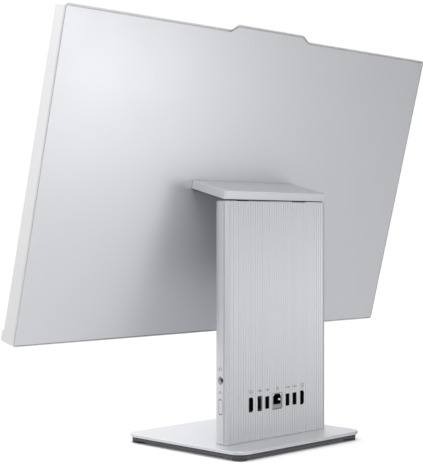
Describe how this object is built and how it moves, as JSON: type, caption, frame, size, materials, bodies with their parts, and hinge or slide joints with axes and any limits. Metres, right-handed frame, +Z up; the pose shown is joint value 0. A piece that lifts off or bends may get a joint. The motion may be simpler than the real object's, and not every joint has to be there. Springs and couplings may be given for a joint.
{
  "type": "all in one pc",
  "caption": "Desktop computer in a flat ribbed column on a plate base, with rear sockets and a thin tilting screen held by a hinge under a cover plate.",
  "frame": {"origin": "on the floor under the middle of the base plate", "axes": "+Z up, screen faces -Y, rear sockets face +Y, power button on the +X side"},
  "size_m": [0.541, 0.1684, 0.4334],
  "materials": {
    "silver_plastic": "satin silver-grey paint",
    "silver_steel": "satin silver-grey paint on sheet steel",
    "dark_plastic": "fine matt grain",
    "rubber": "matt",
    "steel": "plated",
    "circuit_board": "solder resist",
    "black_plastic": "moulded",
    "copper": "bare copper",
    "aluminium": "bare sheet",
    "screen_glass": "anti-glare glass over a black panel",
    "clear_plastic": "clear acrylic",
    "white_film": "white film"
  },
  "bodies": {
    "stand": {"base_plate": "silver_steel", "base_tray": "dark_plastic", "foot_front_left": "rubber", "foot_front_right": "rubber", "foot_rear_left": "rubber", "foot_rear_right": "rubber", "base_screw_left": "steel", "base_screw_right": "steel", "column_rear_cover": "silver_plastic", "column_front_shell": "silver_plastic", "column_top_plate": "dark_plastic", "chassis_frame": "steel", "hinge_bracket": "steel", "hinge_shaft_left": "steel", "hinge_shaft_right": "steel", "friction_washers_left": "steel", "friction_washers_right": "steel", "mainboard": "circuit_board", "processor": "black_plastic", "cold_plate": "copper", "memory_module": "circuit_board", "memory_socket": "black_plastic", "ssd_module": "circuit_board", "wifi_card": "steel", "heat_pipe": "copper", "fin_stack": "aluminium", "fan_housing": "black_plastic", "fan_cover": "black_plastic", "side_board": "circuit_board", "power_switch": "black_plastic", "headset_jack": "black_plastic", "hdmi_out_port": "steel", "dc_in_port": "black_plastic", "usb_port_1": "steel", "ethernet_port": "steel", "usb_port_2": "steel", "usb_port_3": "steel", "hdmi_in_port": "steel"},
    "display": {"rear_cover": "silver_plastic", "middle_frame": "silver_plastic", "lcd_panel": "screen_glass", "diffuser_sheet": "white_film", "light_guide": "clear_plastic", "led_strip": "white_film", "panel_backplate": "aluminium", "display_mount_plate": "steel", "panel_driver_board": "circuit_board", "speaker_left": "black_plastic", "speaker_right": "black_plastic", "camera_module": "black_plastic", "hinge_cap": "silver_plastic", "hinge_cap_floor": "dark_plastic", "hinge_arm_left": "steel", "hinge_arm_right": "steel"},
    "fan": {"fan_impeller": "black_plastic"},
    "power_key": {"power_button": "silver_plastic"},
    "shutter": {"camera_shutter": "black_plastic"}
  },
  "joints": [
    {"name": "display_tilt", "type": "hinge", "parent": "stand", "child": "display", "pos_m": [0, 0.035, 0.243], "axis": [-1, 0, 0], "range_deg": [-19.3, 3.7]},
    {"name": "fan_spin", "type": "hinge", "parent": "stand", "child": "fan", "pos_m": [0.028, 0.0382, 0.15], "axis": [0, 1, 0], "continuous": true},
    {"name": "power_button_press", "type": "slide", "parent": "stand", "child": "power_key", "axis": [-1, 0, 0], "range_m": [0, 0.0005], "stiffness_N_per_m": 600, "springref_m": -0.0015},
    {"name": "shutter_slide", "type": "slide", "parent": "display", "child": "shutter", "axis": [-1, 0, 0], "range_m": [0, 0.01]}
  ]
}
